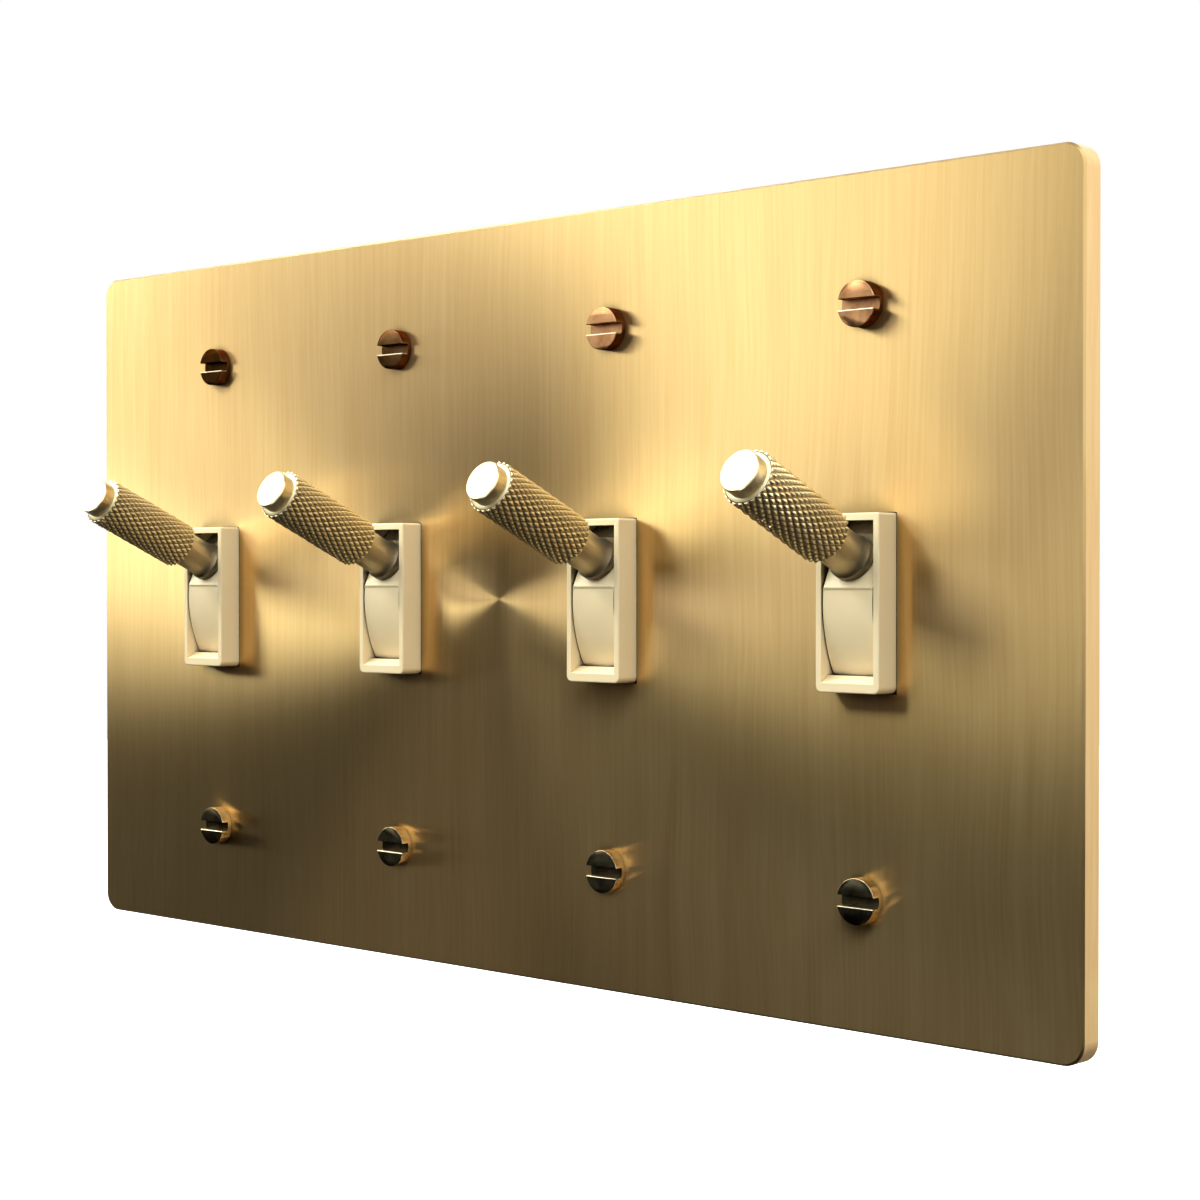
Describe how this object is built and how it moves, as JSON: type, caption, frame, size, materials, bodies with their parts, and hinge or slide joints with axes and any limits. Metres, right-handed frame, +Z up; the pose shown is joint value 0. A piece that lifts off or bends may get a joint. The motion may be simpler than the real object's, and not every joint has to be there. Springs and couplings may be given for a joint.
{
  "type": "toggle light switch",
  "caption": "Brass wall plate with a row of knurled toggle levers in cream frames, each working its own light switch behind the plate.",
  "frame": {"origin": "centre of the plate in the wall plane, where the rim of its back lies on the wall", "axes": "+X along the plate, +Z up, +Y into the wall; the levers stand out towards -Y"},
  "size_m": [0.2054, 0.0572, 0.1142],
  "materials": {
    "satin_brass": "satin, brushed upright",
    "lever_brass": "satin, turned and diamond knurled",
    "polished_brass": "polished",
    "aged_bronze": "aged, mottled, satin",
    "cream_plastic": "semi-gloss moulding",
    "dark_moulding": "matt moulding",
    "zinc_steel": "bright zinc plate",
    "pin_steel": "ground",
    "spring_steel": "drawn wire",
    "terminal_brass": "pressed, bright",
    "contact_copper": "pressed copper alloy",
    "green_steel": "green finish",
    "white_nylon": "natural nylon"
  },
  "bodies": {
    "base": {"face_plate": "satin_brass", "coin_screws": "aged_bronze", "strap_rivets": "zinc_steel", "pivot_pins": "pin_steel", "terminal_screws": "terminal_brass", "earth_screws": "green_steel", "mounting_strap_1": "zinc_steel", "toggle_frame_1": "cream_plastic", "switch_body_1": "dark_moulding", "line_terminal_1": "terminal_brass", "load_terminal_1": "terminal_brass", "mounting_strap_2": "zinc_steel", "toggle_frame_2": "cream_plastic", "switch_body_2": "dark_moulding", "line_terminal_2": "terminal_brass", "load_terminal_2": "terminal_brass", "mounting_strap_3": "zinc_steel", "toggle_frame_3": "cream_plastic", "switch_body_3": "dark_moulding", "line_terminal_3": "terminal_brass", "load_terminal_3": "terminal_brass", "mounting_strap_4": "zinc_steel", "toggle_frame_4": "cream_plastic", "switch_body_4": "dark_moulding", "line_terminal_4": "terminal_brass", "load_terminal_4": "terminal_brass"},
    "lever_1": {"toggle_carrier_1": "cream_plastic", "lever_stem_1": "lever_brass", "knurled_grip_1": "lever_brass", "end_cap_1": "polished_brass", "plunger_spring_1": "spring_steel"},
    "tip_plunger_1": {"plunger_1": "white_nylon"},
    "rocker_1": {"contact_rocker_1": "contact_copper"},
    "lever_2": {"toggle_carrier_2": "cream_plastic", "lever_stem_2": "lever_brass", "knurled_grip_2": "lever_brass", "end_cap_2": "polished_brass", "plunger_spring_2": "spring_steel"},
    "tip_plunger_2": {"plunger_2": "white_nylon"},
    "rocker_2": {"contact_rocker_2": "contact_copper"},
    "lever_3": {"toggle_carrier_3": "cream_plastic", "lever_stem_3": "lever_brass", "knurled_grip_3": "lever_brass", "end_cap_3": "polished_brass", "plunger_spring_3": "spring_steel"},
    "tip_plunger_3": {"plunger_3": "white_nylon"},
    "rocker_3": {"contact_rocker_3": "contact_copper"},
    "lever_4": {"toggle_carrier_4": "cream_plastic", "lever_stem_4": "lever_brass", "knurled_grip_4": "lever_brass", "end_cap_4": "polished_brass", "plunger_spring_4": "spring_steel"},
    "tip_plunger_4": {"plunger_4": "white_nylon"},
    "rocker_4": {"contact_rocker_4": "contact_copper"}
  },
  "joints": [
    {"name": "lever_1_pivot", "type": "hinge", "parent": "base", "child": "lever_1", "pos_m": [-0.06906, 0.0066, 0], "axis": [1, 0, 0], "range_deg": [0, 50]},
    {"name": "plunger_1_slide", "type": "slide", "parent": "lever_1", "child": "tip_plunger_1", "axis": [0, -0.9063, 0.4226], "range_m": [0, 0.001], "stiffness_N_per_m": 400, "springref_m": -0.002, "deforming": ["plunger_spring_1"]},
    {"name": "rocker_1_pivot", "type": "hinge", "parent": "base", "child": "rocker_1", "pos_m": [-0.06906, 0.0181, 0], "axis": [1, 0, 0], "range_deg": [-16, 0]},
    {"name": "lever_2_pivot", "type": "hinge", "parent": "base", "child": "lever_2", "pos_m": [-0.02302, 0.0066, 0], "axis": [1, 0, 0], "range_deg": [0, 50]},
    {"name": "plunger_2_slide", "type": "slide", "parent": "lever_2", "child": "tip_plunger_2", "axis": [0, -0.9063, 0.4226], "range_m": [0, 0.001], "stiffness_N_per_m": 400, "springref_m": -0.002, "deforming": ["plunger_spring_2"]},
    {"name": "rocker_2_pivot", "type": "hinge", "parent": "base", "child": "rocker_2", "pos_m": [-0.02302, 0.0181, 0], "axis": [1, 0, 0], "range_deg": [-16, 0]},
    {"name": "lever_3_pivot", "type": "hinge", "parent": "base", "child": "lever_3", "pos_m": [0.02302, 0.0066, 0], "axis": [1, 0, 0], "range_deg": [0, 50]},
    {"name": "plunger_3_slide", "type": "slide", "parent": "lever_3", "child": "tip_plunger_3", "axis": [0, -0.9063, 0.4226], "range_m": [0, 0.001], "stiffness_N_per_m": 400, "springref_m": -0.002, "deforming": ["plunger_spring_3"]},
    {"name": "rocker_3_pivot", "type": "hinge", "parent": "base", "child": "rocker_3", "pos_m": [0.02302, 0.0181, 0], "axis": [1, 0, 0], "range_deg": [-16, 0]},
    {"name": "lever_4_pivot", "type": "hinge", "parent": "base", "child": "lever_4", "pos_m": [0.06906, 0.0066, 0], "axis": [1, 0, 0], "range_deg": [0, 50]},
    {"name": "plunger_4_slide", "type": "slide", "parent": "lever_4", "child": "tip_plunger_4", "axis": [0, -0.9063, 0.4226], "range_m": [0, 0.001], "stiffness_N_per_m": 400, "springref_m": -0.002, "deforming": ["plunger_spring_4"]},
    {"name": "rocker_4_pivot", "type": "hinge", "parent": "base", "child": "rocker_4", "pos_m": [0.06906, 0.0181, 0], "axis": [1, 0, 0], "range_deg": [-16, 0]}
  ],
  "couplings": [
    {"joint": "rocker_1_pivot", "follows": "lever_1_pivot", "ratio": -0.32},
    {"joint": "rocker_2_pivot", "follows": "lever_2_pivot", "ratio": -0.32},
    {"joint": "rocker_3_pivot", "follows": "lever_3_pivot", "ratio": -0.32},
    {"joint": "rocker_4_pivot", "follows": "lever_4_pivot", "ratio": -0.32}
  ]
}
